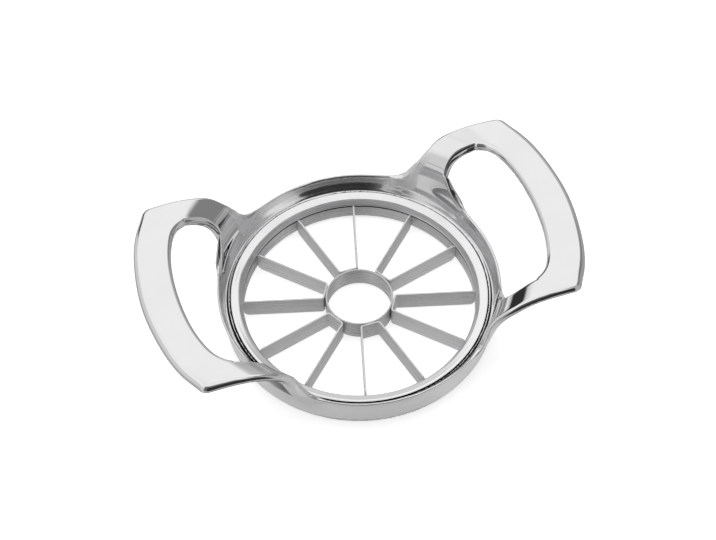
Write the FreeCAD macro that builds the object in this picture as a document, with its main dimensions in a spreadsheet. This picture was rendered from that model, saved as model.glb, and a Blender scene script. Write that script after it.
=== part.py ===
import FreeCAD, Part
import Sketcher
import math
import os
from FreeCAD import Vector, Placement, Rotation

# Push-down wedge cutter: a cast ring with two raised loop handles carries a
# polished bead, a steel band and a star of folded steel blades on a round core.
# Frame: +Z up, +X along the two handles, z = 0 at the cutting edges,
# origin on the axis of the ring.

doc = FreeCAD.newDocument("wedge_cutter")

# ---------------------------------------------------------------- dimensions
sheet = doc.addObject("Spreadsheet::Sheet", "Dims")
DIMS = [
    # cutting star
    ("blade_height", 8.6, "height of the blades and of the core ring"),
    ("blade_thick", 0.7, "strip thickness"),
    ("blade_reach", 45.12, "radius reached by the blade ends"),
    ("blade_pitch", 30.0, "angle between neighbouring blades, degrees"),
    ("blade_heel", 2.0, "radius of the lower outer blade corner"),
    ("blade_nick", 0.9, "chamfer of the upper outer blade corner"),
    ("core_inner", 12.5, "inside radius of the core ring"),
    ("core_wall", 0.7, "wall of the core ring"),
    # steel band in the bore
    ("bore_radius", 45.2, "inside radius of the band and bead"),
    ("band_wall", 1.0, "wall of the steel band"),
    ("band_base", 1.2, "height of the ring's foot above the edges"),
    ("band_top", 7.3, "joint line between band and bead"),
    # bead
    ("bead_outer", 49.97, "outside radius of the bead"),
    ("bead_rim", 10.0, "height of the bead's inner rim"),
    ("bead_crown", 10.9, "height of the bead's crown"),
    ("bead_seam", 10.65, "height of the bead at its outer seam"),
    # casting
    ("seat_radius", 50.0, "radius of the seat the bead lies in"),
    ("foot_inner", 46.25, "inside radius of the casting's foot"),
    ("foot_outer", 52.7, "outside radius of the casting's foot"),
    ("lip_radius", 55.0, "outside radius of the lip"),
    ("lip_height", 16.2, "height of the lip"),
    ("grip_height", 41.2, "height of the grip's top"),
    ("grip_thick", 3.6, "thickness of the grip"),
    ("half_length", 84.85, "half the length over both handles"),
    ("corner_x", 73.5, "handle corner, along the handles"),
    ("corner_y", 43.35, "handle corner, across the handles"),
    ("hole_outer", 70.4, "outer end of the finger hole"),
    ("hole_half", 33.85, "half the width of the finger hole"),
    ("hole_depth", 62.0, "reach of the cut above the lip inside the handle"),
    ("arch_x", 37.0, "half width of the gap between the arms, across"),
    ("arch_y", 30.5, "half width of the gap between the arms, lengthwise"),
]
sheet.set("A1", "name")
sheet.set("B1", "value")
sheet.set("C1", "meaning")
for i, (name, value, note) in enumerate(DIMS):
    row = str(i + 2)
    sheet.set("A" + row, name)
    sheet.set("B" + row, str(value))
    sheet.set("C" + row, note)
    sheet.setAlias("B" + row, name)
doc.recompute()


def dim(name):
    return float(getattr(sheet, name))


def plane_of(body, role):
    for item in body.Origin.OriginFeatures:
        if item.Role == role:
            return item
    raise RuntimeError("no plane " + role)


def new_body(name, label):
    body = doc.addObject("PartDesign::Body", name)
    body.Label = label
    return body


def new_sketch(body, name, role):
    sk = body.newObject("Sketcher::SketchObject", name)
    sk.AttachmentSupport = [(plane_of(body, role), "")]
    sk.MapMode = "FlatFace"
    return sk


def bind(sk, index, expression):
    sk.setExpression("Constraints[" + str(index) + "]", expression)


def ring_pad(body, name, inner, outer, low, height):
    """Flat ring between two bound radii, padded up by a bound height."""
    sk = new_sketch(body, name + "_sketch", "XY_Plane")
    axis_z = Vector(0, 0, 1)
    a = sk.addGeometry(Part.Circle(Vector(0, 0, 0), axis_z, dim("core_inner")), False)
    b = sk.addGeometry(Part.Circle(Vector(0, 0, 0), axis_z, dim("core_inner") + 1), False)
    sk.addConstraint(Sketcher.Constraint("Coincident", a, 3, -1, 1))
    sk.addConstraint(Sketcher.Constraint("Coincident", b, 3, -1, 1))
    ca = sk.addConstraint(Sketcher.Constraint("Radius", a, dim("core_inner")))
    cb = sk.addConstraint(Sketcher.Constraint("Radius", b, dim("core_inner") + 1))
    bind(sk, ca, inner)
    bind(sk, cb, outer)
    sk.setExpression(".AttachmentOffset.Base.z", low)
    doc.recompute()
    pad = body.newObject("PartDesign::Pad", name)
    pad.Profile = sk
    pad.setExpression("Length", height)
    doc.recompute()
    sk.Visibility = False
    return pad


def spline(points):
    curve = Part.BSplineCurve()
    curve.interpolate([Vector(x, y, 0) for x, y in points])
    return curve


# ----------------------------------------------------------------- core ring
core = new_body("CoreRing", "core_ring")
ring_pad(
    core, "core_wall_pad", "Dims.core_inner", "Dims.core_inner + Dims.core_wall",
    "0 mm", "Dims.blade_height",
)

# ---------------------------------------------------------------- blade band
band = new_body("BladeBand", "blade_band")
ring_pad(
    band, "band_wall_pad", "Dims.bore_radius", "Dims.bore_radius + Dims.band_wall",
    "Dims.band_base", "Dims.band_top - Dims.band_base - 0.02",
)

# ---------------------------------------------------------------- bead ring
# Low crown that rises gently outwards, with a bevel down into the bore.


def bead_curve(points):
    curve = Part.BSplineCurve()
    curve.interpolate([Vector(x, y, 0) for x, y in points])
    return curve


bead = new_body("BeadRing", "bead_ring")
sk = new_sketch(bead, "bead_profile", "XZ_Plane")
ri, ro = dim("bore_radius"), dim("bead_outer")
zl, zr, zc, zs = dim("band_top"), dim("bead_rim"), dim("bead_crown"), dim("bead_seam")
bottom = sk.addGeometry(Part.LineSegment(Vector(ri, zl, 0), Vector(ro, zl, 0)), False)
outer = sk.addGeometry(Part.LineSegment(Vector(ro, zl, 0), Vector(ro, zs, 0)), False)
crown = sk.addGeometry(
    bead_curve([(ro, zs), (49.45, zc), (48.3, zc - 0.28), (47.3, zr + 0.33), (46.7, zr + 0.05), (46.3, zr - 0.6), (45.75, zr - 1.5), (ri, zr - 2.3)]), False
)
inner = sk.addGeometry(Part.LineSegment(Vector(ri, zr - 2.3, 0), Vector(ri, zl, 0)), False)


def join(sk, first, second):
    """Tie the ends of two neighbouring edges that meet at one point."""
    best = None
    for p in (1, 2):
        for q in (1, 2):
            d = (sk.getPoint(first, p) - sk.getPoint(second, q)).Length
            if best is None or d < best[0]:
                best = (d, p, q)
    sk.addConstraint(Sketcher.Constraint("Coincident", first, best[1], second, best[2]))


for u, v in ((bottom, outer), (outer, crown), (crown, inner), (inner, bottom)):
    join(sk, u, v)
sk.addConstraint(Sketcher.Constraint("Horizontal", bottom))
sk.addConstraint(Sketcher.Constraint("Vertical", outer))
sk.addConstraint(Sketcher.Constraint("Vertical", inner))
c = sk.addConstraint(Sketcher.Constraint("DistanceX", -1, 1, bottom, 1, ri))
bind(sk, c, "Dims.bore_radius")
c = sk.addConstraint(Sketcher.Constraint("DistanceX", -1, 1, bottom, 2, ro))
bind(sk, c, "Dims.bead_outer")
c = sk.addConstraint(Sketcher.Constraint("DistanceY", -1, 1, bottom, 1, zl))
bind(sk, c, "Dims.band_top")
c = sk.addConstraint(Sketcher.Constraint("DistanceY", -1, 1, outer, 2, zs))
bind(sk, c, "Dims.bead_seam")
doc.recompute()
rev = bead.newObject("PartDesign::Revolution", "bead_turned")
rev.Profile = sk
rev.ReferenceAxis = (sk, ["V_Axis"])
rev.Angle = 360.0
doc.recompute()
sk.Visibility = False

# -------------------------------------------------------------- blade strips
# One folded strip: two radial blades joined by a short flat base that lies
# against the core ring. Drawn about local +X and turned into place.


def strip_outline():
    t = dim("blade_thick")
    half = math.radians(dim("blade_pitch") / 2.0)
    base_in = dim("core_inner") + dim("core_wall") + 0.03
    base_out = base_in + t
    reach = dim("blade_reach")
    e = Vector(math.cos(half), math.sin(half), 0)
    n = Vector(-math.sin(half), math.cos(half), 0)
    # the blade's outer face is offset by +t/2, its inner face by -t/2

    def at_x(x, off):
        s = (x - off * n.x) / e.x
        return e * s + n * off

    a = at_x(base_in, t / 2.0)
    b = e * reach + n * (t / 2.0)
    c_ = e * reach - n * (t / 2.0)
    d = at_x(base_out, -t / 2.0)
    upper = [a, b, c_, d]
    lower = [Vector(p.x, -p.y, 0) for p in reversed(upper)]
    return upper + lower


for k in range(6):
    body = new_body("BladeStrip" + str(k + 1), "blade_strip_" + str(k + 1))
    sk = new_sketch(body, "strip_plan_" + str(k + 1), "XY_Plane")
    pts = strip_outline()
    ids = []
    for i in range(len(pts)):
        ids.append(sk.addGeometry(Part.LineSegment(pts[i], pts[(i + 1) % len(pts)]), False))
    for i in range(len(ids)):
        sk.addConstraint(Sketcher.Constraint("Coincident", ids[i], 2, ids[(i + 1) % len(ids)], 1))
    c = sk.addConstraint(
        Sketcher.Constraint("Distance", ids[1], 1, ids[1], 2, dim("blade_thick"))
    )
    bind(sk, c, "Dims.blade_thick")
    doc.recompute()
    pad = body.newObject("PartDesign::Pad", "strip_pad_" + str(k + 1))
    pad.Profile = sk
    pad.setExpression("Length", "Dims.blade_height")
    doc.recompute()
    sk.Visibility = False
    # heel rounding and top nick at the outer ends, cut across both blades
    sk = new_sketch(body, "strip_ends_" + str(k + 1), "XZ_Plane")
    xe = dim("blade_reach") * math.cos(math.radians(dim("blade_pitch") / 2.0)) + 0.1
    rh, ch, top = dim("blade_heel"), dim("blade_nick"), dim("blade_height")
    g1 = sk.addGeometry(Part.LineSegment(Vector(xe + 1, -1, 0), Vector(xe + 1, rh, 0)), False)
    g2 = sk.addGeometry(Part.LineSegment(Vector(xe + 1, rh, 0), Vector(xe, rh, 0)), False)
    g3 = sk.addGeometry(
        Part.Arc(
            Vector(xe, rh, 0),
            Vector(xe - rh + rh * math.sin(math.pi / 4), rh - rh * math.cos(math.pi / 4), 0),
            Vector(xe - rh, 0, 0),
        ), False
    )
    g4 = sk.addGeometry(Part.LineSegment(Vector(xe - rh, 0, 0), Vector(xe - rh, -1, 0)), False)
    g5 = sk.addGeometry(Part.LineSegment(Vector(xe - rh, -1, 0), Vector(xe + 1, -1, 0)), False)
    h1 = sk.addGeometry(Part.LineSegment(Vector(xe - ch, top, 0), Vector(xe, top - ch, 0)), False)
    h2 = sk.addGeometry(Part.LineSegment(Vector(xe, top - ch, 0), Vector(xe + 1, top - ch, 0)), False)
    h3 = sk.addGeometry(Part.LineSegment(Vector(xe + 1, top - ch, 0), Vector(xe + 1, top + 1, 0)), False)
    h4 = sk.addGeometry(Part.LineSegment(Vector(xe + 1, top + 1, 0), Vector(xe - ch, top + 1, 0)), False)
    h5 = sk.addGeometry(Part.LineSegment(Vector(xe - ch, top + 1, 0), Vector(xe - ch, top, 0)), False)
    doc.recompute()
    cut = body.newObject("PartDesign::Pocket", "strip_end_cut_" + str(k + 1))
    cut.Profile = sk
    cut.Type = 1
    cut.Midplane = True
    doc.recompute()
    sk.Visibility = False
    body.Placement = Placement(
        Vector(0, 0, 0), Rotation(Vector(0, 0, 1), dim("blade_pitch") * (1 + 2 * k))
    )
    doc.recompute()

# ------------------------------------------------------------------- casting
# Turned section: foot, outer wall, valley, and the wall that climbs and flares
# out into the grips. Trimmed in plan to the handles, then between the arms.
frame = new_body("HandleFrame", "handle_frame")
sk = new_sketch(frame, "casting_section", "XZ_Plane")
zb, zt = dim("band_base"), dim("band_top")
rs, rf, fo = dim("seat_radius"), dim("foot_inner"), dim("foot_outer")
gh, gt = dim("grip_height"), dim("grip_thick")
zs = dim("bead_seam")
top_pts = [
    (rs, zs - 0.1), (50.6, 10.4), (51.5, 11.75), (52.2, 12.95), (52.8, 14.25), (53.3, 15.8), (53.65, 18.7),
    (54.1, 23.0), (55.3, 27.6), (57.2, 31.2), (59.8, 34.5), (62.8, 37.3), (67.4, gh - 1.5),
    (72.0, gh - 0.35), (77.0, gh), (84.0, gh - 0.7), (90.0, gh - 2.0),
]
under_pts = [
    (90.0, gh - gt - 1.6), (84.0, gh - gt - 0.5), (77.0, gh - gt), (72.0, gh - gt - 0.3),
    (68.2, gh - gt - 1.4), (65.0, 34.3), (62.2, 31.8), (60.0, 28.7), (58.3, 24.8), (57.0, 20.0),
    (55.8, 15.5), (54.2, 11.5), (53.3, 7.0), (fo, zb),
]
s_top = sk.addGeometry(spline(top_pts), False)
s_end = sk.addGeometry(
    Part.LineSegment(Vector(top_pts[-1][0], top_pts[-1][1], 0), Vector(under_pts[0][0], under_pts[0][1], 0)), False
)
s_low = sk.addGeometry(spline(under_pts), False)
s_foot = sk.addGeometry(Part.LineSegment(Vector(fo, zb, 0), Vector(rf, zb, 0)), False)
s_in = sk.addGeometry(Part.LineSegment(Vector(rf, zb, 0), Vector(rf, zt - 0.02, 0)), False)
s_shelf = sk.addGeometry(Part.LineSegment(Vector(rf, zt - 0.02, 0), Vector(rs, zt - 0.02, 0)), False)
s_seat = sk.addGeometry(Part.LineSegment(Vector(rs, zt - 0.02, 0), Vector(rs, zs - 0.1, 0)), False)
for u, v in ((s_top, s_end), (s_end, s_low), (s_low, s_foot), (s_foot, s_in), (s_in, s_shelf), (s_shelf, s_seat), (s_seat, s_top)):
    join(sk, u, v)
doc.recompute()
rev = frame.newObject("PartDesign::Revolution", "casting_turned")
rev.Profile = sk
rev.ReferenceAxis = (sk, ["V_Axis"])
rev.Angle = 360.0
doc.recompute()
sk.Visibility = False

# plan of the whole casting: lip circle with the two handles
rl = dim("lip_radius")
cx, cy, hx = dim("corner_x"), dim("corner_y"), dim("half_length")
theta = math.radians(50.2)
join_pt = (rl * math.cos(theta), rl * math.sin(theta))
side = [join_pt, (39.0, 42.2), (44.0, cy - 0.15), (52.0, cy + 0.2), (62.0, cy + 0.2), (cx - 3.0, cy - 0.02)]
corner_mid = (cx - 0.75, cy - 0.95)
after = (cx + 1.35, cy - 3.2)
arc = [after, (77.35, 35.55), (80.2, 29.2), (83.55, 15.1), (hx, 0.0), (83.55, -15.1), (80.2, -29.2), (77.35, -35.55), (cx + 1.35, -cy + 3.2)]


def mirror(points, sx, sy):
    return [(sx * x, sy * y) for x, y in points]


def plan_wire(sk):
    ids = []
    for sx in (1, -1):
        ids.append(sk.addGeometry(spline(mirror(side, sx, 1)), False))
        a, m, b = side[-1], corner_mid, after
        ids.append(sk.addGeometry(Part.Arc(
            Vector(sx * a[0], a[1], 0), Vector(sx * m[0], m[1], 0), Vector(sx * b[0], b[1], 0)), False))
        ids.append(sk.addGeometry(spline(mirror(arc, sx, 1)), False))
        ids.append(sk.addGeometry(Part.Arc(
            Vector(sx * b[0], -b[1], 0), Vector(sx * m[0], -m[1], 0), Vector(sx * a[0], -a[1], 0)), False))
        ids.append(sk.addGeometry(spline(mirror(side, sx, -1)), False))
    for sy in (1, -1):
        ids.append(sk.addGeometry(Part.Arc(
            Vector(join_pt[0], sy * join_pt[1], 0), Vector(0, sy * rl, 0), Vector(-join_pt[0], sy * join_pt[1], 0)), False))
    return ids


sk = new_sketch(frame, "casting_plan", "XY_Plane")
plan_wire(sk)
big = 120.0
box = [Vector(-big, -big, 0), Vector(big, -big, 0), Vector(big, big, 0), Vector(-big, big, 0)]
for i in range(4):
    sk.addGeometry(Part.LineSegment(box[i], box[(i + 1) % 4]), False)
doc.recompute()
trim = frame.newObject("PartDesign::Pocket", "casting_trim")
trim.Profile = sk
trim.Type = 1
trim.Midplane = True
doc.recompute()
sk.Visibility = False

# finger holes: closed D shapes between the lip and the grip
sk = new_sketch(frame, "finger_holes", "XY_Plane")
hh, ho = dim("hole_half"), dim("hole_outer")
ri_h = rl
ti = math.radians(33.6)
start = (ri_h * math.cos(ti), ri_h * math.sin(ti))
upper = [start, (47.1, 31.1), (49.6, 32.85), (52.7, hh - 0.1), (56.3, hh - 0.25), (60.4, 32.4), (63.8, 29.7), (66.5, 24.6), (68.6, 17.85), (70.0, 8.9), (ho, 0.0)]
lower = [(x, -y) for x, y in reversed(upper[:-1])]
for sx in (1, -1):
    loop = mirror(upper + lower, sx, 1)
    sk.addGeometry(spline(loop), False)
    a, m, b = mirror([start, (ri_h, 0.0), (start[0], -start[1])], sx, 1)
    sk.addGeometry(Part.Arc(Vector(b[0], b[1], 0), Vector(m[0], m[1], 0), Vector(a[0], a[1], 0)), False)
doc.recompute()
hole = frame.newObject("PartDesign::Pocket", "finger_hole_cut")
hole.Profile = sk
hole.Type = 1
hole.Midplane = True
doc.recompute()
sk.Visibility = False


def arch(sk, half, height, low, radius, top):
    """Rounded window above the lip, symmetric about the sketch's upright axis."""
    xs = half - radius
    zc_ = low + height
    sk.addGeometry(Part.LineSegment(Vector(-xs, low, 0), Vector(xs, low, 0)), False)
    mid = math.sqrt(0.5)
    for s in (1, -1):
        curve = Part.BSplineCurve()
        pts = []
        for i in range(9):
            a = -math.pi / 2 + i * math.pi / 16
            pts.append(Vector(s * (xs + radius * math.cos(a)), zc_ + height * math.sin(a), 0))
        curve.interpolate(pts)
        sk.addGeometry(curve, False)
        sk.addGeometry(Part.LineSegment(Vector(s * half, zc_, 0), Vector(s * half, top, 0)), False)
    sk.addGeometry(Part.LineSegment(Vector(-half, top, 0), Vector(half, top, 0)), False)


# gap between the arms at the front and the back
sk = new_sketch(frame, "gap_across", "XZ_Plane")
arch(sk, dim("arch_x"), 14.4, dim("lip_height"), 14.4, 60.0)
doc.recompute()
gap = frame.newObject("PartDesign::Pocket", "gap_across_cut")
gap.Profile = sk
gap.Type = 1
gap.Midplane = True
doc.recompute()
sk.Visibility = False

# gap under each grip
sk = new_sketch(frame, "gap_lengthwise", "YZ_Plane")
arch(sk, dim("arch_y"), 15.0, dim("lip_height"), 15.0, 60.0)
doc.recompute()
gap2 = frame.newObject("PartDesign::Pocket", "gap_lengthwise_cut")
gap2.Profile = sk
gap2.Midplane = True
gap2.setExpression("Length", "2 * Dims.hole_depth")
doc.recompute()
sk.Visibility = False

# ------------------------------------------------------------- check, export
subparts = [core, band, bead, frame] + [doc.getObject("BladeStrip" + str(i + 1)) for i in range(6)]
doc.recompute()
problems = []
for obj in doc.Objects:
    if "Invalid" in obj.State or "Error" in obj.State:
        problems.append(obj.Name + " " + ",".join(obj.State))
for obj in subparts:
    if obj.Shape.isNull() or not obj.Shape.isValid() or len(obj.Shape.Solids) != 1:
        problems.append(obj.Label + " shape solids " + str(len(obj.Shape.Solids)))
if problems:
    raise RuntimeError("; ".join(problems))
os.makedirs("parts", exist_ok=True)
for obj in subparts:
    obj.Shape.exportStep("parts/" + obj.Label + ".step")
    bb = obj.Shape.BoundBox
    print(
        obj.Label, "volume", round(obj.Shape.Volume, 1), "x", round(bb.XMin, 2), round(bb.XMax, 2),
        "y", round(bb.YMin, 2), round(bb.YMax, 2), "z", round(bb.ZMin, 2), round(bb.ZMax, 2),
    )
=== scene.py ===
import math
import bpy
import numpy as np
from mathutils import Matrix, Vector


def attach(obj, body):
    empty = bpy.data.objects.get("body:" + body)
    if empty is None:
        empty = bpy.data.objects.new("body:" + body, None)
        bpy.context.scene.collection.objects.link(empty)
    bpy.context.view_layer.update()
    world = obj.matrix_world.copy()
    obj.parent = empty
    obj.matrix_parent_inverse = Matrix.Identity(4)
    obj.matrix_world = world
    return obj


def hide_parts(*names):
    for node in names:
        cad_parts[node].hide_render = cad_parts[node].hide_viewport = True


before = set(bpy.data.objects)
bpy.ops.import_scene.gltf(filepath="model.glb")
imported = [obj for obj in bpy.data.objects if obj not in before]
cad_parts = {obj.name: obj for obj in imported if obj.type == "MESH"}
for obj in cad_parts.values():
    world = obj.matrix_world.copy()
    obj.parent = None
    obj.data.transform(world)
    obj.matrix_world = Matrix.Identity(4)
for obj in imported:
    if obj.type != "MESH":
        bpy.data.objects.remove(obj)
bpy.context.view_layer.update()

MM = 0.001
scene = bpy.context.scene
coll = scene.collection

# --------------------------------------------------------------------------
# numeric helpers (all lengths in millimetres until a mesh is made)
# --------------------------------------------------------------------------


def spline(points, per=12):
    """Natural cubic spline through the points, chord-length parameter."""
    p = np.array(points, float)
    n = len(p)
    t = np.r_[0, np.cumsum(np.hypot(*np.diff(p, axis=0).T))]
    h = np.diff(t)
    a = np.zeros((n, n))
    rhs = np.zeros((n, 2))
    a[0, 0] = a[-1, -1] = 1
    for i in range(1, n - 1):
        a[i, i - 1], a[i, i], a[i, i + 1] = h[i - 1], 2 * (h[i - 1] + h[i]), h[i]
        rhs[i] = 6 * ((p[i + 1] - p[i]) / h[i] - (p[i] - p[i - 1]) / h[i - 1])
    m = np.linalg.solve(a, rhs)
    out = []
    for i in range(n - 1):
        s = np.linspace(0, h[i], per, endpoint=False)[:, None]
        out.append(
            p[i]
            + s * ((p[i + 1] - p[i]) / h[i] - h[i] * (2 * m[i] + m[i + 1]) / 6)
            + s**2 * m[i] / 2
            + s**3 * (m[i + 1] - m[i]) / (6 * h[i])
        )
    out.append(p[-1:])
    return np.vstack(out)


def arc3(a, m, b, n=10):
    """Circular arc through three points."""
    a, m, b = (np.array(v, float) for v in (a, m, b))
    d = 2 * (a[0] * (m[1] - b[1]) + m[0] * (b[1] - a[1]) + b[0] * (a[1] - m[1]))
    ux = ((a @ a) * (m[1] - b[1]) + (m @ m) * (b[1] - a[1]) + (b @ b) * (a[1] - m[1])) / d
    uy = ((a @ a) * (b[0] - m[0]) + (m @ m) * (a[0] - b[0]) + (b @ b) * (m[0] - a[0])) / d
    c = np.array([ux, uy])
    r = np.hypot(*(a - c))
    t0, t1, t2 = (math.atan2(*(v - c)[::-1]) for v in (a, m, b))
    span = (t2 - t0) % (2 * math.pi)
    if (t1 - t0) % (2 * math.pi) > span:
        span -= 2 * math.pi
    t = t0 + np.linspace(0, 1, n) * span
    return c + r * np.c_[np.cos(t), np.sin(t)]


def sdf_grid(loops, x0, x1, y0, y1, step):
    """Signed distance (negative inside, even-odd over all loops) on a grid."""
    xs = np.arange(x0, x1 + step / 2, step)
    ys = np.arange(y0, y1 + step / 2, step)
    X, Y = np.meshgrid(xs, ys, indexing="ij")
    px, py = X.ravel().astype(np.float32), Y.ravel().astype(np.float32)
    best = np.full(px.shape, 1e9, np.float32)
    inside = np.zeros(px.shape, bool)
    for loop in loops:
        a = np.asarray(loop, np.float32)
        b = np.roll(a, -1, axis=0)
        for (ax, ay), (bx, by) in zip(a, b):
            dx, dy = bx - ax, by - ay
            q = dx * dx + dy * dy
            if q < 1e-10:
                continue
            wx, wy = px - ax, py - ay
            t = np.clip((wx * dx + wy * dy) / q, 0, 1)
            best = np.minimum(best, (wx - t * dx) ** 2 + (wy - t * dy) ** 2)
            if ay != by:
                hit = ((ay <= py) != (by <= py)) & (px < ax + (py - ay) * dx / dy)
                inside ^= hit
    d = np.sqrt(best)
    d[inside] *= -1
    return d.reshape(X.shape)


def blur(g, sigma):
    """Separable gaussian over a grid; sigma in cells."""
    r = int(3 * sigma + 1)
    k = np.exp(-0.5 * (np.arange(-r, r + 1) / sigma) ** 2)
    k /= k.sum()
    for axis in (0, 1):
        pad = [(0, 0), (0, 0)]
        pad[axis] = (r, r)
        e = np.pad(g, pad, mode="edge")
        acc = np.zeros_like(g)
        for i, w in enumerate(k):
            sl = [slice(None), slice(None)]
            sl[axis] = slice(i, i + g.shape[axis])
            acc += w * e[tuple(sl)]
        g = acc
    return g


class Field:
    """A smooth function of two coordinates, sampled on a grid."""

    def __init__(self, grid, x0, y0, step):
        self.g, self.x0, self.y0, self.h = grid.astype(np.float64), x0, y0, step

    def _w(self, t):
        t2, t3 = t * t, t * t * t
        return (
            -0.5 * t + t2 - 0.5 * t3,
            1 - 2.5 * t2 + 1.5 * t3,
            0.5 * t + 2 * t2 - 1.5 * t3,
            -0.5 * t2 + 0.5 * t3,
        )

    def cubic(self, x, y):
        g = self.g
        u = np.clip((x - self.x0) / self.h, 1, g.shape[0] - 2.001)
        v = np.clip((y - self.y0) / self.h, 1, g.shape[1] - 2.001)
        i, j = u.astype(int), v.astype(int)
        wu, wv = self._w(u - i), self._w(v - j)
        out = 0.0
        for a in range(4):
            row = 0.0
            for b in range(4):
                row = row + wv[b] * g[i + a - 1, j + b - 1]
            out = out + wu[a] * row
        return out

    def linear(self, x, y):
        g = self.g
        u = np.clip((x - self.x0) / self.h, 0, g.shape[0] - 1.001)
        v = np.clip((y - self.y0) / self.h, 0, g.shape[1] - 1.001)
        i, j = u.astype(int), v.astype(int)
        fu, fv = u - i, v - j
        return (
            (1 - fu) * ((1 - fv) * g[i, j] + fv * g[i, j + 1])
            + fu * ((1 - fv) * g[i + 1, j] + fv * g[i + 1, j + 1])
        )


def meet(a, b, r):
    """Intersection of two solids with a rounded edge of radius r."""
    return np.minimum(-r, np.maximum(a, b)) + np.hypot(np.maximum(r + a, 0), np.maximum(r + b, 0))


def smooth(t):
    t = np.clip(t, 0, 1)
    return t * t * (3 - 2 * t)


def new_object(name, verts, faces, normals=None, smooth_faces=True):
    mesh = bpy.data.meshes.new(name)
    mesh.from_pydata([], [], [])
    mesh.vertices.add(len(verts))
    mesh.vertices.foreach_set("co", (np.asarray(verts, np.float32) * MM).ravel())
    faces = np.asarray(faces, np.int32)
    k = faces.shape[1]
    mesh.loops.add(faces.size)
    mesh.loops.foreach_set("vertex_index", faces.ravel())
    mesh.polygons.add(len(faces))
    mesh.polygons.foreach_set("loop_start", np.arange(0, faces.size, k, dtype=np.int32))
    mesh.polygons.foreach_set("loop_total", np.full(len(faces), k, np.int32))
    mesh.polygons.foreach_set("use_smooth", np.full(len(faces), smooth_faces))
    mesh.update(calc_edges=True)
    mesh.validate()
    if normals is not None:
        mesh.normals_split_custom_set_from_vertices([tuple(n) for n in normals])
    obj = bpy.data.objects.new(name, mesh)
    coll.objects.link(obj)
    return obj


# --------------------------------------------------------------------------
# the casting: foot, wall, valley and lip of the ring, with both loop handles
# --------------------------------------------------------------------------
FOOT_IN, FOOT_OUT, SEAT = 46.25, 52.7, 50.12
ZB, ZT, ZS, GH, GT = 1.2, 7.26, 10.65, 41.2, 3.6
LIP_Z = 16.2

valley = [(SEAT, ZS - 0.1), (50.6, 10.42), (51.0, 10.85), (51.5, 11.75), (52.2, 12.95), (52.8, 14.25), (53.3, 15.8), (53.65, 18.7)]
lip_wall = [(SEAT, ZS - 0.1), (50.6, 10.42), (51.0, 10.85), (51.5, 11.75), (52.2, 13.0), (52.9, 14.25), (53.5, 15.3), (53.9, 16.2), (54.15, 17.4)]
arm_rise = [
    (54.3, 23.0), (55.3, 27.6), (57.2, 31.2), (59.8, 34.5), (62.8, 37.3), (67.4, GH - 1.5),
    (72.0, GH - 0.35), (77.0, GH), (84.0, GH - 0.45), (90.0, GH - 1.3),
]
top_arm = spline(valley + [(54.1, 23.0)] + arm_rise[1:])
under_high = [
    (90.0, GH - GT - 1.0), (84.0, GH - GT - 0.4), (77.0, GH - GT), (72.0, GH - GT - 0.3),
    (68.2, GH - GT - 1.4), (65.0, 34.3), (62.2, 31.8), (60.0, 28.7), (58.3, 24.8), (57.0, 20.0),
]
under_arm = spline(under_high + [(55.8, 15.5), (54.4, 11.0), (53.4, 6.5), (FOOT_OUT, ZB)])
under_lip = spline(
    under_high
    + [(55.75, 18.0), (55.1, 16.3), (54.75, 14.9), (54.0, 13.9), (53.4, 12.6), (53.2, 9.5), (52.95, 5.5), (FOOT_OUT, ZB)]
)
STEP2 = 0.125
inner = np.array([(40.0, -10.0), (FOOT_IN, -10.0), (FOOT_IN, ZT), (SEAT, ZT), (SEAT, ZS - 0.1)])
below_top = np.vstack([inner[1:], top_arm[1:], [(96.0, GH - 2.2), (96.0, -10.0)]])


def above(curve):
    return np.vstack([[(96.0, 60.0), (96.0, curve[0][1])], curve, [(FOOT_OUT - 0.02, ZB), (30.0, ZB), (30.0, 60.0)]])


def profile_field(loop):
    return Field(blur(sdf_grid([loop], 40, 92, -3, 47, STEP2), 1.4), 40, -3, STEP2)


F_TOP = profile_field(below_top)
F_TOPL = profile_field(np.vstack([inner[1:], spline(lip_wall + arm_rise)[1:], [(96.0, GH - 2.2), (96.0, -10.0)]]))
F_ARM = profile_field(above(under_arm))
F_LIP = profile_field(above(under_lip))

CX, CY, HX = 72.7, 42.6, 84.0
PLAN_R = 57.2
th = math.radians(47.7)
joinp = (PLAN_R * math.cos(th), PLAN_R * math.sin(th))
side = spline([joinp, (41.0, 42.3), (45.0, CY + 0.1), (52.0, CY + 0.25), (62.0, CY + 0.2), (CX - 1.9, CY + 0.02)])
c_a, c_m, c_b = (CX - 1.9, CY + 0.02), (CX - 0.25, CY - 0.62), (CX + 1.0, CY - 2.2)
corner = arc3(c_a, c_m, c_b)
outer = spline([c_b, (75.0, 38.1), (76.75, 35.1), (79.4, 29.0), (82.7, 15.0), (HX, 0.0), (82.7, -15.0), (79.4, -29.0), (76.75, -35.1), (75.0, -38.1), (c_b[0], -c_b[1])])
t = np.linspace(math.pi - th, th, 60)
back = PLAN_R * np.c_[np.cos(t), np.sin(t)]
right = np.vstack([back, side[1:], corner[1:], outer[1:], (corner * [1, -1])[::-1][1:], (side * [1, -1])[::-1][1:]])
left = np.vstack([(-back), (side * [-1, -1])[1:], (corner * [-1, -1])[1:], (outer * [-1, 1])[::-1][1:], (corner * [-1, 1])[::-1][1:], (side * [-1, 1])[::-1][1:-1]])
plan_loop = np.vstack([right, left])
ti = math.radians(34.3)
hs = (PLAN_R - 1.5) * math.cos(ti), (PLAN_R - 1.5) * math.sin(ti)
upper = [(44.5, 29.6), (46.2, 31.2), (48.9, 33.4), (52.6, 34.5), (56.5, 34.35), (60.8, 33.1), (64.4, 30.2), (67.3, 24.9), (69.4, 18.0), (70.8, 9.0), (71.2, 0.0)]
hole_r = spline(upper + [(x, -y) for x, y in reversed(upper[:-1])])
hole_loop = np.vstack([hole_r, [(44.5, -29.0), (44.5, 29.0)]])
plan_sdf = sdf_grid([plan_loop, hole_loop, hole_loop * [-1, 1]], -2, 92, -2, 62, 0.25)
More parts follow.
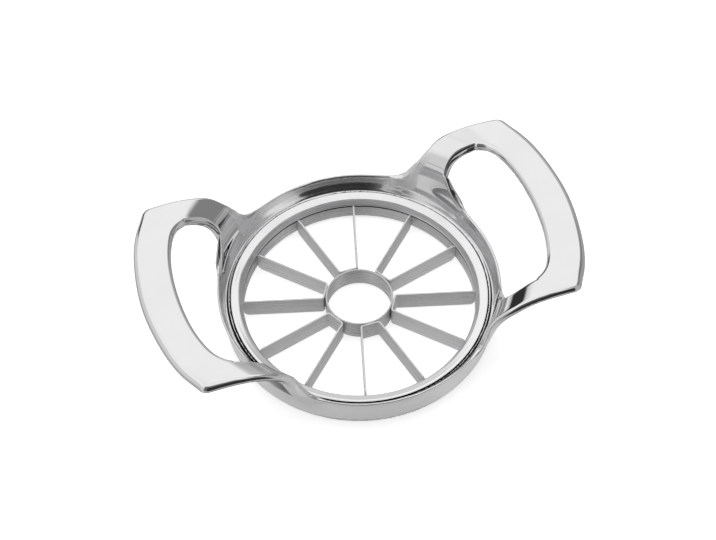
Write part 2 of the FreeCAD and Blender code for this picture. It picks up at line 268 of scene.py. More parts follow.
# inside the ring the hole outline is not wanted: there the plan is all solid
gx = np.arange(-2, 92 + 0.125, 0.25)
gy = np.arange(-2, 62 + 0.125, 0.25)
GXm, GYm = np.meshgrid(gx, gy, indexing="ij")
ring_in = np.hypot(GXm, GYm) - (PLAN_R - 0.6)
plan_sdf = np.minimum(plan_sdf, ring_in[: plan_sdf.shape[0], : plan_sdf.shape[1]])
F_PLAN = Field(blur(plan_sdf, 1.3), -2, -2, 0.25)


def rise(points):
    """Height of the lip line against distance, with its slope's length."""
    p = spline(points, 24)
    x = np.linspace(0, points[-1][0], 1400)
    z = LIP_Z + np.interp(x, p[:, 0], p[:, 1])
    return np.c_[x, z, np.sqrt(1 + np.gradient(z, x) ** 2)]


RISE_X = rise([(0, 0), (9, 0), (18, 0), (22.6, 0.1), (27, 0.5), (30, 1.1), (32.6, 2.3), (34.4, 4.3), (35.9, 7.4), (37.6, 11.8), (39.6, 16.6), (43, 23.0), (50, 34), (60, 48), (95, 97)])
RISE_Y = rise([(0, 0), (8, 0), (15, 0), (18, 0.3), (21, 1.1), (24, 2.7), (26.5, 5.0), (28.5, 7.9), (30, 11.0), (31.2, 14.2), (32.4, 18.2), (33.6, 23.0), (36, 34), (60, 150)])


def casting(x, y, z, cubic=True):
    ax, ay = np.abs(x), np.abs(y)
    r = np.hypot(x, y)
    ang = np.degrees(np.arctan2(ay, ax))
    w = smooth((62.0 - ang) / 13.0) * smooth((ang - 19.0) / 13.0)
    look = Field.cubic if cubic else Field.linear
    wt = smooth((w - 0.05) / 0.5)
    top = wt * look(F_TOP, r, z) + (1 - wt) * look(F_TOPL, r, z)
    under = (1 - w) * look(F_LIP, r, z) + w * look(F_ARM, r, z)
    # the section is widest below the edge of its top face
    plan = look(F_PLAN, ax, ay) - 0.8 * smooth((r - 57.0) / 9.0)
    # generous rounding along the upper edges, a tight one underneath
    roll = 1.9 + 0.9 * smooth((ax - 70.0) / 7.0) * smooth((r - 77.0) / 3.0)
    f = np.maximum(meet(top, plan, roll), meet(under, plan, 0.4 + 0.7 * smooth((ay - 22.0) / 8.0) * smooth((76.0 - ax) / 6.0)))
    f = meet(f, np.maximum(top, under), 0.3)
    edge = 0.8 + 0.5 * w
    # the lip climbs in an S-curve into each arm, along the ring's front and
    # back, and again along its two sides
    zw = np.interp(ax, RISE_X[:, 0], RISE_X[:, 1])
    gw = np.interp(ax, RISE_X[:, 0], RISE_X[:, 2])
    f = meet(f, (z - zw) / gw, edge)
    zw = np.interp(ay, RISE_Y[:, 0], RISE_Y[:, 1])
    gw = np.interp(ay, RISE_Y[:, 0], RISE_Y[:, 2])
    f = meet(f, np.minimum((z - zw) / gw, 58.5 - ax), edge)
    return f


def mesh_field(fun, lo, hi, h, name):
    """Surface net of fun = 0, with every point moved onto the surface."""
    n = [int(round((b - a) / h)) + 1 for a, b in zip(lo, hi)]
    ax = [a + h * np.arange(k) for a, k in zip(lo, n)]
    f = np.empty(n, np.float32)
    X, Y = np.meshgrid(ax[0], ax[1], indexing="ij")
    for k, zz in enumerate(ax[2]):
        f[:, :, k] = fun(X, Y, np.full_like(X, zz), cubic=False)
    s = f < 0
    ids = {}
    cells, sums, quads = [], [], []
    shape = np.array([n[0] - 1, n[1] - 1, n[2] - 1])

    def lin(c):
        return (c[:, 0] * shape[1] + c[:, 1]) * shape[2] + c[:, 2]

    for axis in range(3):
        a = [slice(None)] * 3
        b = [slice(None)] * 3
        a[axis], b[axis] = slice(0, -1), slice(1, None)
        fa, fb = f[tuple(a)], f[tuple(b)]
        sa, sb = s[tuple(a)], s[tuple(b)]
        idx = np.argwhere(sa != sb)
        va, vb = fa[tuple(idx.T)], fb[tuple(idx.T)]
        tt = va / (va - vb)
        pos = idx.astype(float)
        pos[:, axis] += tt
        o1, o2 = (axis + 1) % 3, (axis + 2) % 3
        ring = []
        for d1, d2 in ((-1, -1), (0, -1), (0, 0), (-1, 0)):
            c = idx.copy()
            c[:, o1] += d1
            c[:, o2] += d2
            ring.append(lin(c))
            cells.append(ring[-1])
            sums.append(pos)
        q = np.stack(ring, 1)
        flip = ~sa[tuple(idx.T)]
        q[flip] = q[flip][:, ::-1]
        quads.append(q)
    cells, sums, quads = np.concatenate(cells), np.concatenate(sums), np.concatenate(quads)
    uniq, inv = np.unique(cells, return_inverse=True)
    inv = inv.ravel()
    cnt = np.bincount(inv)
    p = np.stack([np.bincount(inv, sums[:, i]) / cnt for i in range(3)], 1)
    p = p * h + np.array(lo)
    faces = np.searchsorted(uniq, quads)

    def grad(p):
        e = 0.04
        g = np.empty_like(p)
        for i in range(3):
            d = np.zeros(3)
            d[i] = e
            g[:, i] = (fun(*(p + d).T) - fun(*(p - d).T)) / (2 * e)
        return g

    for step in range(4):
        g = grad(p)
        v = fun(*p.T)
        move = (v / np.maximum((g * g).sum(1), 0.05))[:, None] * g
        ln = np.linalg.norm(move, axis=1)
        move *= np.minimum(1, 0.35 * h / np.maximum(ln, 1e-9))[:, None]
        p = p - move
        if step in (0, 1):
            # even out the net before the last projections
            acc = np.zeros_like(p)
            deg = np.zeros(len(p))
            for i in range(4):
                j = (i + 1) % 4
                for u, w in ((i, j), (j, i)):
                    deg += np.bincount(faces[:, u], minlength=len(p))
                    for c in range(3):
                        acc[:, c] += np.bincount(faces[:, u], p[faces[:, w], c], minlength=len(p))
            p = 0.5 * p + 0.5 * acc / np.maximum(deg, 1)[:, None]
    g = grad(p)
    nrm = g / np.maximum(np.linalg.norm(g, axis=1), 1e-9)[:, None]
    return new_object(name, p, faces, nrm)


NET = 0.55
casting_obj = mesh_field(casting, (-87.0, -57.0, 0.0), (87.0, 57.0, 43.0), NET, "casting")

# --------------------------------------------------------------------------
# turned rings
# --------------------------------------------------------------------------


def rounded(points, r, n=5):
    """Closed polygon with every corner rounded; r one radius or one per corner."""
    p = np.array(points, float)
    rs = [r] * len(p) if np.isscalar(r) else r
    out = []
    for i in range(len(p)):
        a, b, c = p[i - 1], p[i], p[(i + 1) % len(p)]
        u, v = a - b, c - b
        lu, lv = np.hypot(*u), np.hypot(*v)
        u, v = u / lu, v / lv
        half = math.acos(max(-1, min(1, float(u @ v)))) / 2
        if rs[i] <= 0 or half > 1.55:
            out.append(b[None])
            continue
        d = min(rs[i] / math.tan(half), 0.48 * lu, 0.48 * lv)
        t = np.linspace(0, 1, n + 1)[:, None]
        # quadratic corner, close enough to an arc at this size
        out.append((1 - t) ** 2 * (b + u * d) + 2 * t * (1 - t) * b + t**2 * (b + v * d))
    return np.vstack(out)


def turned(name, loop, segments=360):
    loop = np.asarray(loop, float)
    m = len(loop)
    a = np.linspace(0, 2 * math.pi, segments, endpoint=False)
    verts = np.stack(
        [
            np.cos(a)[:, None] * loop[None, :, 0],
            np.sin(a)[:, None] * loop[None, :, 0],
            np.broadcast_to(loop[None, :, 1], (segments, m)),
        ],
        -1,
    ).reshape(-1, 3)
    i, j = np.meshgrid(np.arange(segments), np.arange(m), indexing="ij")
    i2, j2 = (i + 1) % segments, (j + 1) % m
    faces = np.stack([i * m + j, i2 * m + j, i2 * m + j2, i * m + j2], -1).reshape(-1, 4)
    area = 0.5 * np.sum(loop[:, 0] * np.roll(loop[:, 1], -1) - np.roll(loop[:, 0], -1) * loop[:, 1])
    if area < 0:
        faces = faces[:, ::-1]
    # profile normals, averaged over the two neighbouring edges
    e = np.roll(loop, -1, 0) - loop
    nn = np.c_[e[:, 1], -e[:, 0]] * (1 if area > 0 else -1)
    nn = nn / np.maximum(np.linalg.norm(nn, axis=1), 1e-9)[:, None]
    vn = nn + np.roll(nn, 1, 0)
    vn /= np.maximum(np.linalg.norm(vn, axis=1), 1e-9)[:, None]
    normals = np.stack(
        [
            np.cos(a)[:, None] * vn[None, :, 0],
            np.sin(a)[:, None] * vn[None, :, 0],
            np.broadcast_to(vn[None, :, 1], (segments, m)),
        ],
        -1,
    ).reshape(-1, 3)
    return new_object(name, verts, faces, normals)


BORE = 45.2
bead_top = spline([(49.93, 10.35), (49.86, 10.65), (49.65, 10.85), (49.3, 10.88), (48.6, 10.7), (47.8, 10.46), (47.2, 10.28), (46.82, 10.14)], 6)
bead_bevel = spline([(46.62, 10.0), (46.5, 9.75), (46.0, 8.8), (45.5, 7.98), (45.24, 7.74)], 5)
bead_loop = np.vstack([[(46.15, 7.3), (47.5, 7.3), (49.93, 7.3), (49.93, 9.0)], bead_top, bead_bevel, [(45.26, 7.6), (45.42, 7.52), (45.8, 7.5), (46.1, 7.48)]])
bead_obj = turned("bead", bead_loop)

band_loop = rounded([(46.2, 1.2), (46.2, 7.26), (46.05, 7.26), (45.9, 7.0), (45.3, 6.98), (45.2, 6.85), (45.2, 4.2), (45.2, 1.2)], [0.15, 0.05, 0.05, 0.05, 0.08, 0.06, 0, 0.2])
band_obj = turned("bore_band", band_loop)

core_loop = rounded([(13.2, 0.0), (13.2, 8.6), (12.5, 8.6), (12.5, 0.0)], [0.12, 0.16, 0.16, 0.12])
core_obj = turned("core_tube", core_loop, 240)

# --------------------------------------------------------------------------
# folded blade strips
# --------------------------------------------------------------------------
T, HT, REACH = 0.7, 8.6, 45.1


def strip(name, mid_deg):
    """One strip: two radial blades and the flat base folded between them."""
    half = math.radians(15.0)
    base_x = 12.5 + 0.7 + 0.03 + T / 2
    corner_pt = np.array([base_x, base_x * math.tan(half)])
    out_dir = np.array([math.cos(half), math.sin(half)])
    end = out_dir * REACH
    bend = 0.75
    # centre line: outer end of one blade, fold, base, fold, outer end of the other
    blade_len = np.hypot(*(end - corner_pt))
    d_in = np.r_[0, 0.02, 0.08, 0.2, 0.4, 0.7, 1.05, 1.45, 2.0, np.linspace(2.6, blade_len - bend, 26)]
    pts = [end - out_dir * d for d in d_in]
    ang = math.pi / 2 + half
    a, b, c = corner_pt + out_dir * bend, corner_pt, corner_pt - np.array([0, bend])
    t = np.linspace(0, 1, 9)[1:]
    pts += [(1 - s) ** 2 * a + 2 * s * (1 - s) * b + s * s * c for s in t]
    up = np.array(pts)
    path = np.vstack([up, (up * [1, -1])[::-1]])
    seg = np.hypot(*np.diff(path, axis=0).T)
    s = np.r_[0, np.cumsum(seg)]
    total = s[-1]
    dist = np.minimum(s, total - s)
    tang = np.gradient(path, axis=0)
    tang /= np.linalg.norm(tang, axis=1)[:, None]
    nor = np.c_[-tang[:, 1], tang[:, 0]]
    rh, ch = 2.0, 0.8
    low = np.where(dist < rh, rh - np.sqrt(np.maximum(rh**2 - (rh - dist) ** 2, 0)), 0.0)
    high = HT - np.where(dist < ch, ch - dist, 0.0) * 0.9
    # section: rounded rectangle, upper edge ground a little brighter and rounder
    e_top, e_low = 0.16, 0.1
    h = T / 2
    sec = [
        (-h, "l", e_low), (-h * 0.55, "l", 0.0), (0.0, "l", 0.0), (h * 0.55, "l", 0.0), (h, "l", e_low),
        (h, "l", 0.45), (h, "m", 0.33), (h, "m", 0.67), (h, "u", 0.5), (h, "u", e_top),
        (h * 0.85, "u", 0.04), (h * 0.45, "u", 0.0), (0.0, "u", 0.0), (-h * 0.45, "u", 0.0), (-h * 0.85, "u", 0.04),
        (-h, "u", e_top), (-h, "u", 0.5), (-h, "m", 0.67), (-h, "m", 0.33), (-h, "l", 0.45),
    ]
    m = len(sec)
    verts = []
    rot = math.radians(mid_deg)
    cr, sr = math.cos(rot), math.sin(rot)
    for k in range(len(path)):
        for off, ref, val in sec:
            q = path[k] + nor[k] * off
            if ref == "l":
                z = low[k] + val
            elif ref == "u":
                z = high[k] - val
            else:
                z = low[k] + (high[k] - low[k]) * val
            verts.append((q[0] * cr - q[1] * sr, q[0] * sr + q[1] * cr, z))
    faces = []
    n = len(path)
    for k in range(n - 1):
        for j in range(m):
            j2 = (j + 1) % m
            faces.append((k * m + j, k * m + j2, (k + 1) * m + j2, (k + 1) * m + j))
    verts = list(verts)
    # end faces as small quads down the middle of the section
    for base in (0, (n - 1) * m):
        order = [(0, 1, 4, 5)]
        idx = [base + i for i in range(m)]
        quads = [
            (idx[0], idx[1], idx[3], idx[4]), (idx[19], idx[0], idx[4], idx[5]), (idx[18], idx[19], idx[5], idx[6]),
            (idx[17], idx[18], idx[6], idx[7]), (idx[16], idx[17], idx[7], idx[8]), (idx[15], idx[16], idx[8], idx[9]),
            (idx[14], idx[15], idx[9], idx[10]), (idx[13], idx[14], idx[10], idx[11]),
        ]
        if base:
            quads = [q[::-1] for q in quads]
        faces += quads
    obj = new_object(name, verts, faces)
    mod = obj.modifiers.new("edges", "EDGE_SPLIT")
    mod.split_angle = math.radians(50)
    # consistent outward faces
    import bmesh

    bm = bmesh.new()
    bm.from_mesh(obj.data)
    bmesh.ops.recalc_face_normals(bm, faces=bm.faces)
    bm.to_mesh(obj.data)
    bm.free()
    for p in obj.data.polygons:
        p.use_smooth = True
    return obj


strips = [strip("strip_%d" % (k + 1), 30 + 60 * k) for k in range(6)]

# --------------------------------------------------------------------------
# materials
# --------------------------------------------------------------------------


class Tree:
    def __init__(self, name):
        self.mat = bpy.data.materials.new(name)
        self.mat.use_nodes = True
        self.nt = self.mat.node_tree
        self.nt.nodes.clear()
        self.out = self.add("ShaderNodeOutputMaterial")
        self.bsdf = self.add("ShaderNodeBsdfPrincipled")
        self.link(self.bsdf.outputs[0], self.out.inputs[0])

    def add(self, kind, **kw):
        n = self.nt.nodes.new(kind)
        for k, v in kw.items():
            setattr(n, k, v)
        return n

    def link(self, a, b):
        self.nt.links.new(a, b)

    def math(self, op, a, b=None, clamp=False):
        n = self.add("ShaderNodeMath", operation=op, use_clamp=clamp)
        for i, v in enumerate((a, b)):
            if v is None:
                continue
            if isinstance(v, (int, float)):
                n.inputs[i].default_value = v
            else:
                self.link(v, n.inputs[i])
        return n.outputs[0]

    def remap(self, v, a, b, c, d):
        n = self.add("ShaderNodeMapRange")
        n.inputs[1].default_value, n.inputs[2].default_value = a, b
        n.inputs[3].default_value, n.inputs[4].default_value = c, d
        self.link(v, n.inputs[0])
        return n.outputs[0]

    def noise(self, vec, scale, detail=3.0, rough=0.5):
        n = self.add("ShaderNodeTexNoise")
        n.inputs["Scale"].default_value = scale
        n.inputs["Detail"].default_value = detail
        n.inputs["Roughness"].default_value = rough
        self.link(vec, n.inputs["Vector"])
        return n.outputs[0]

    def mapping(self, vec, scale=(1, 1, 1), rot=(0, 0, 0)):
        n = self.add("ShaderNodeMapping")
        n.inputs["Scale"].default_value = scale
        n.inputs["Rotation"].default_value = rot
        self.link(vec, n.inputs["Vector"])
        return n.outputs[0]

    def polar(self):
        """(angle x 50 mm, height, radius) of the shaded point, in metres."""
        pos = self.add("ShaderNodeTexCoord").outputs["Object"]
        sep = self.add("ShaderNodeSeparateXYZ")
        self.link(pos, sep.inputs[0])
        ang = self.math("ARCTAN2", sep.outputs[1], sep.outputs[0])
        rad = self.math("SQRT", self.math("ADD", self.math("MULTIPLY", sep.outputs[0], sep.outputs[0]), self.math("MULTIPLY", sep.outputs[1], sep.outputs[1])))
        comb = self.add("ShaderNodeCombineXYZ")
        self.link(self.math("MULTIPLY", ang, 0.05), comb.inputs[0])
        self.link(sep.outputs[2], comb.inputs[1])
        self.link(rad, comb.inputs[2])
        return comb.outputs[0], pos, sep.outputs[2], rad, ang


def polished(name, base, rough):
    t = Tree(name)
    vec, pos, z, rad, ang = t.polar()
    cloud = t.noise(pos, 55.0, 2.0)
    hair = t.noise(t.mapping(pos, (260.0, 1500.0, 900.0), (0.0, 0.0, 0.35)), 1.0, 2.0)
    r = t.math("ADD", t.remap(cloud, 0.3, 0.7, rough * 0.7, rough * 1.3), t.remap(hair, 0.45, 0.75, 0.0, rough * 0.5))
    t.link(r, t.bsdf.inputs["Roughness"])
    mix = t.add("ShaderNodeMix", data_type="RGBA")
    mix.inputs[6].default_value = (*[c * 0.965 for c in base], 1)
    mix.inputs[7].default_value = (*base, 1)
    t.link(t.remap(cloud, 0.3, 0.7, 0.0, 1.0), mix.inputs[0])
    t.link(mix.outputs[2], t.bsdf.inputs["Base Color"])
    t.bsdf.inputs["Metallic"].default_value = 1.0
    bump = t.add("ShaderNodeBump")
    bump.inputs["Strength"].default_value = 0.015
    bump.inputs["Distance"].default_value = 0.0002
    t.link(hair, bump.inputs["Height"])
    t.link(bump.outputs[0], t.bsdf.inputs["Normal"])
    return t


chrome = polished("chrome_casting", (0.90, 0.90, 0.905), 0.045)
chrome_bead = polished("chrome_bead", (0.95, 0.95, 0.955), 0.07)

# the bead's inner wall is turned, not polished
t = chrome_bead
vec, pos, z, rad, ang = t.polar()
inner_wall = t.remap(rad, 0.04648, 0.04656, 1.0, 0.0)
turn = t.noise(t.mapping(vec, (40.0, 5200.0, 2600.0)), 1.0, 3.0, 0.6)
mr = t.add("ShaderNodeMix", data_type="FLOAT")
t.link(inner_wall, mr.inputs[0])
t.link(t.bsdf.inputs["Roughness"].links[0].from_socket, mr.inputs[2])
t.link(t.remap(turn, 0.3, 0.7, 0.24, 0.34), mr.inputs[3])
t.link(mr.outputs[0], t.bsdf.inputs["Roughness"])
mc = t.add("ShaderNodeMix", data_type="RGBA")
t.link(inner_wall, mc.inputs[0])
t.link(t.bsdf.inputs["Base Color"].links[0].from_socket, mc.inputs[6])
mc.inputs[7].default_value = (0.62, 0.62, 0.625, 1)
# painted shade: the bead's underside in the joint above the band and its outer face in the seam against the casting
# are mixed almost to black, standing in for the shade in these gaps
groove_shade = t.remap(z, 0.00750, 0.00762, 1.0, 0.0)
seam_shade = t.remap(rad, 0.04984, 0.04990, 0.0, 1.0)
dark = t.math("MAXIMUM", groove_shade, seam_shade, clamp=True)
ml = t.add("ShaderNodeMix", data_type="RGBA")
t.link(dark, ml.inputs[0])
t.link(mc.outputs[2], ml.inputs[6])
ml.inputs[7].default_value = (0.035, 0.035, 0.035, 1)
t.link(ml.outputs[2], t.bsdf.inputs["Base Color"])
t.link(t.remap(inner_wall, 0.0, 1.0, 0.88, 0.6), t.bsdf.inputs["Metallic"])

# the outer wall of the ring is left satin, up to where the arms spring from it
t = chrome
vec, pos, z, rad, ang = t.polar()
sepp = t.add("ShaderNodeSeparateXYZ")
t.link(pos, sepp.inputs[0])
geo = t.add("ShaderNodeNewGeometry")
sepn = t.add("ShaderNodeSeparateXYZ")
t.link(geo.outputs["Normal"], sepn.inputs[0])
steep = t.remap(t.math("ABSOLUTE", sepn.outputs[2]), 0.35, 0.6, 1.0, 0.0)
outside = t.remap(rad, 0.0524, 0.0528, 0.0, 1.0)
ring = t.remap(rad, 0.0550, 0.0556, 1.0, 0.0)
low = t.remap(z, 0.0136, 0.0140, 1.0, 0.0)
root = t.math("MULTIPLY", t.remap(t.math("ABSOLUTE", sepp.outputs[1]), 0.0385, 0.0395, 0.0, 1.0), t.remap(rad, 0.0585, 0.0625, 1.0, 0.0))
mask = t.math("MULTIPLY", t.math("MULTIPLY", steep, outside), t.math("MAXIMUM", t.math("MULTIPLY", ring, low), root), clamp=True)
fine = t.noise(t.mapping(vec, (90.0, 2600.0, 2600.0)), 1.0, 3.0)
# the valley between lip and bead is less finely polished than the grips
dull = t.math("MULTIPLY", t.remap(rad, 0.0536, 0.0546, 1.0, 0.0), t.remap(z, 0.0165, 0.0190, 1.0, 0.0), clamp=True)
old_rough = t.bsdf.inputs["Roughness"].links[0].from_socket
rough1 = t.add("ShaderNodeMix", data_type="FLOAT")
t.link(dull, rough1.inputs[0])
t.link(old_rough, rough1.inputs[2])
t.link(t.remap(fine, 0.3, 0.7, 0.07, 0.10), rough1.inputs[3])
mixr = t.add("ShaderNodeMix", data_type="FLOAT")
t.link(mask, mixr.inputs[0])
t.link(rough1.outputs[0], mixr.inputs[2])
t.link(t.remap(fine, 0.3, 0.7, 0.30, 0.40), mixr.inputs[3])
t.link(mixr.outputs[0], t.bsdf.inputs["Roughness"])
old_col = t.bsdf.inputs["Base Color"].links[0].from_socket
mixc = t.add("ShaderNodeMix", data_type="RGBA")
t.link(mask, mixc.inputs[0])
t.link(old_col, mixc.inputs[6])
mixc.inputs[7].default_value = (0.84, 0.84, 0.845, 1)
t.link(mixc.outputs[2], t.bsdf.inputs["Base Color"])
t.link(t.remap(mask, 0.0, 1.0, 1.0, 0.45), t.bsdf.inputs["Metallic"])


def brushed(name, base, rough, radial):
    """Satin steel with fine grinding lines, around the bore or along the blade."""
    t = Tree(name)
    vec, pos, z, rad, ang = t.polar()
    if radial:
        sc = (700.0, 5200.0, 60.0)
    else:
        sc = (60.0, 5200.0, 2600.0)
    lines = t.noise(t.mapping(vec, sc), 1.0, 3.0, 0.6)
    cloud = t.noise(pos, 90.0, 2.0)
    r = t.math("ADD", t.remap(lines, 0.3, 0.7, rough - 0.05, rough + 0.05), t.remap(cloud, 0.3, 0.7, -0.02, 0.02))
    t.link(r, t.bsdf.inputs["Roughness"])
    mix = t.add("ShaderNodeMix", data_type="RGBA")
    mix.inputs[6].default_value = (*[c * 0.95 for c in base], 1)
    mix.inputs[7].default_value = (*[min(1, c * 1.03) for c in base], 1)
    t.link(t.remap(lines, 0.3, 0.7, 0.0, 1.0), mix.inputs[0])
    t.link(mix.outputs[2], t.bsdf.inputs["Base Color"])
    t.bsdf.inputs["Metallic"].default_value = 0.6
    bump = t.add("ShaderNodeBump")
    bump.inputs["Strength"].default_value = 0.03
    bump.inputs["Distance"].default_value = 0.0002
    t.link(lines, bump.inputs["Height"])
    t.link(bump.outputs[0], t.bsdf.inputs["Normal"])
    return t


def paint_shade(t, mask, level):
    """Painted shade: mix the base colour towards a dark level where the mask is 1."""
    m = t.add("ShaderNodeMix", data_type="RGBA")
    t.link(mask, m.inputs[0])
    t.link(t.bsdf.inputs["Base Color"].links[0].from_socket, m.inputs[6])
    m.inputs[7].default_value = (level, level, level, 1)
    t.link(m.outputs[2], t.bsdf.inputs["Base Color"])


steel_blade = brushed("satin_blade", (0.70, 0.70, 0.705), 0.30, True)
steel_band = brushed("satin_band", (0.60, 0.60, 0.605), 0.28, False)
steel_core = brushed("satin_core", (0.60, 0.60, 0.605), 0.28, False)
# band: painted shade in the joint's gap under the bead, the band's top edge mixed almost to black
t = steel_band
vec, pos, z, rad, ang = t.polar()
paint_shade(t, t.math("MULTIPLY", t.remap(z, 0.00690, 0.00697, 0.0, 1.0), t.remap(rad, 0.04526, 0.04532, 0.0, 1.0)), 0.02)

for obj, tree, node, slot in (
    (casting_obj, chrome, "handle_frame", "polished_casting"),
    (bead_obj, chrome_bead, "bead_ring", "polished_bead"),
    (band_obj, steel_band, "blade_band", "brushed_band"),
    (core_obj, steel_core, "core_ring", "brushed_core"),
):
    obj.data.materials.append(tree.mat)
    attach(obj, "root")
    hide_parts(node)
for k, obj in enumerate(strips):
    obj.data.materials.append(steel_blade.mat)
    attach(obj, "root")
    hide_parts("blade_strip_%d" % (k + 1))

# --------------------------------------------------------------------------
# stage and light
# --------------------------------------------------------------------------
bpy.ops.mesh.primitive_plane_add(size=8.0, location=(0, 0, -0.0002))
floor = bpy.context.object
floor.name = "floor"
ft = Tree("floor_pale")
ft.bsdf.inputs["Base Color"].default_value = (0.8, 0.8, 0.8, 1)
ft.bsdf.inputs["Roughness"].default_value = 0.9
ft.bsdf.inputs["Emission Color"].default_value = (1, 1, 1, 1)
ft.bsdf.inputs["Emission Strength"].default_value = 0.62
floor.data.materials.append(ft.mat)
floor.visible_glossy = False

bpy.ops.mesh.primitive_uv_sphere_add(segments=64, ring_count=32, radius=3.8, location=(0, 0, 0))
dome = bpy.context.object
dome.name = "backdrop"
dt = Tree("backdrop_pale")
dt.nt.nodes.remove(dt.bsdf)
em = dt.add("ShaderNodeEmission")
em.inputs["Strength"].default_value = 0.93
dt.link(em.outputs[0], dt.out.inputs[0])
dome.data.materials.append(dt.mat)
dome.visible_glossy = False
dome.visible_diffuse = False
dome.visible_transmission = False
dome.visible_volume_scatter = False
dome.visible_shadow = False

# soft boxes and dark cards round the object: azimuth 0 is behind it (+Y) and
# 90 to its right (+X); each entry paints over the ones before it
#        azimuth: centre, half, soft   elevation: low, soft, high, soft   brightness
CARDS = [
    ("ceiling", 0, 400, 1, 66, 6, 200, 1, 0.90),
    ("sky_ring", 0, 400, 1, 30, 7, 66, 6, 0.93),
    ("left_box", -75, 45, 5, 22, 6, 64, 6, 0.90),
    ("left_low", -75, 45, 6, -20, 5, 24, 6, 0.66),
    ("left_steep", -62, 40, 10, -200, 1, -18, 5, 0.42),
    ("back_right_low", 15, 15, 2, -54, 4, 28, 5, 0.60),
    ("right_back_low", 45, 15, 2, -60, 4, 12, 5, 0.34),
    ("right_back_mid", 45, 15, 3, 12, 3, 36, 5, 0.46),
    ("right_low", 82, 24, 4, -60, 4, 3, 5, 0.36),
    ("right_mid", 86, 27, 5, 4, 3, 50, 4, 0.23),
    ("right_front", 131, 19, 5, -40, 5, 38, 5, 0.44),
    ("right_front_high", 131, 19, 5, 38, 4, 56, 5, 0.20),
    ("back_dark", -16, 14, 3, -9, 3, 24, 3, 0.03),
    ("floor_glow", 180, 60, 1, -200, 1, -52, 6, 0.40),
    ("front_left_low", -146, 20, 6, -40, 6, 28, 5, 0.12),
    ("front_left_high", -152, 32, 8, 28, 4, 62, 6, 0.14),
    ("front_right_high", 172, 12, 6, 28, 4, 54, 6, 0.16),
    ("front_dark", 180, 30, 6, -48, 6, 30, 4, 0.03),
    ("under_dark", 0, 400, 1, -200, 1, -70, 6, 0.06),
]

world = bpy.data.worlds.new("studio")
scene.world = world
world.use_nodes = True
wt = world.node_tree
wt.nodes.clear()


def wadd(kind, **kw):
    n = wt.nodes.new(kind)
    for k, v in kw.items():
        setattr(n, k, v)
    return n


def wmath(op, a, b=None, clamp=False):
    n = wadd("ShaderNodeMath", operation=op, use_clamp=clamp)
    for i, v in enumerate((a, b)):
        if v is None:
            continue
        if isinstance(v, (int, float)):
            n.inputs[i].default_value = v
        else:
            wt.links.new(v, n.inputs[i])
    return n.outputs[0]


def wstep(v, a, b, c=0.0, d=1.0):
    """Smooth change from c at a to d at b."""
    n = wadd("ShaderNodeMapRange", interpolation_type="SMOOTHSTEP")
    for i, x in enumerate((a, b, c, d)):
        n.inputs[1 + i].default_value = x
    wt.links.new(v, n.inputs[0])
    return n.outputs[0]


tc = wadd("ShaderNodeTexCoord")
sep = wadd("ShaderNodeSeparateXYZ")
wt.links.new(tc.outputs["Generated"], sep.inputs[0])
azim = wmath("MULTIPLY", wmath("ARCTAN2", sep.outputs[0], sep.outputs[1]), 180 / math.pi)
elev = wmath("MULTIPLY", wmath("ARCSINE", sep.outputs[2]), 180 / math.pi)
total = 0.60
for name, c, half, soft, lo, slo, hi, shi, val in CARDS:
    m = None
    if half < 180:
        off = wmath("ABSOLUTE", wmath("WRAP", wmath("SUBTRACT", azim, float(c)), 180.0))
        off.node.inputs[0].links[0].from_node.inputs[2].default_value = -180.0
        m = wstep(off, half - soft, half + soft, 1.0, 0.0)
    if lo > -90:
        q = wstep(elev, lo - slo, lo + slo)
        m = q if m is None else wmath("MULTIPLY", m, q)
    if hi < 90:
        q = wstep(elev, hi - shi, hi + shi, 1.0, 0.0)
        m = q if m is None else wmath("MULTIPLY", m, q)
    mix = wadd("ShaderNodeMix", data_type="FLOAT")
    wt.links.new(m, mix.inputs[0])
    if isinstance(total, float):
        mix.inputs[2].default_value = total
    else:
        wt.links.new(total, mix.inputs[2])
    mix.inputs[3].default_value = val
    total = mix.outputs[0]
bg = wadd("ShaderNodeBackground")
wo = wadd("ShaderNodeOutputWorld")
wt.links.new(total, bg.inputs["Strength"])
bg.inputs["Color"].default_value = (1, 1, 1, 1)
wt.links.new(bg.outputs[0], wo.inputs[0])

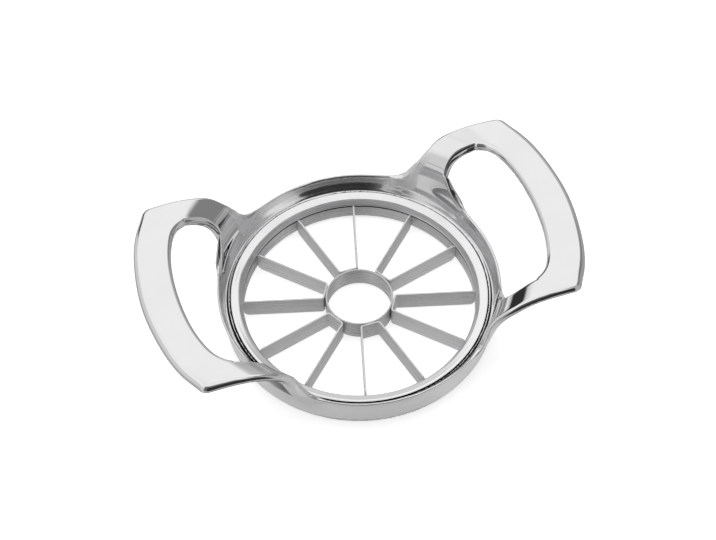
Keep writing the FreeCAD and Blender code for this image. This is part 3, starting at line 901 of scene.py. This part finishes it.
key = bpy.data.lights.new("soft_top", "AREA")
key.shape = "DISK"
key.size = 1.2
key.energy = 5.0
ko = bpy.data.objects.new("soft_top", key)
coll.objects.link(ko)
ko.location = (0.15, 0.35, 1.1)
ko.rotation_euler = (Vector((0, 0, 0)) - Vector(ko.location)).to_track_quat("-Z", "Y").to_euler()
ko.visible_glossy = False

# --------------------------------------------------------------------------
# camera
# --------------------------------------------------------------------------
scene.view_settings.view_transform = "Standard"
scene.view_settings.look = "None"
scene.view_settings.exposure = 0.0
scene.view_settings.gamma = 1.0

# camera: direction, distance and framing found by matching the ring, the
# blades and the handle corners
AZ, EL, ROLL, DIST = -17.5368, 55.0137, -0.6393, 859.97
FPX, U0, V0 = 2195.53, 359.493, 307.249
W, H = 716.0, 540.0
a, e, ro = math.radians(AZ), math.radians(EL), math.radians(ROLL)
back_v = Vector((math.sin(a) * math.cos(e), -math.cos(a) * math.cos(e), math.sin(e)))
fwd = -back_v
right_v = fwd.cross(Vector((0, 0, 1))).normalized()
up_v = right_v.cross(fwd)
r2 = math.cos(ro) * right_v + math.sin(ro) * up_v
u2 = -math.sin(ro) * right_v + math.cos(ro) * up_v
d = Vector(((U0 - W / 2) / FPX, -(V0 - H / 2) / FPX, 1.0)).normalized()
zz = Vector((0, 0, 1))
axis = d.cross(zz)
sn, cs = axis.length, d.dot(zz)
rot = Matrix.Rotation(math.atan2(sn, cs), 3, axis.normalized())
B = Matrix((r2, u2, fwd))
M = rot.transposed() @ B
cam_data = bpy.data.cameras.new("camera")
cam = bpy.data.objects.new("camera", cam_data)
coll.objects.link(cam)
cam_data.sensor_fit = "HORIZONTAL"
cam_data.sensor_width = 36.0
cam_data.lens = FPX * 36.0 / W
cam_data.clip_start = 0.05
cam_data.clip_end = 20.0
cam_data.dof.use_dof = False
loc = (back_v * DIST + Vector((0, 0, ZB))) * MM
basis = Matrix((M[0], M[1], -M[2])).transposed()
cam.matrix_world = Matrix.Translation(loc) @ basis.to_4x4()
scene.camera = cam
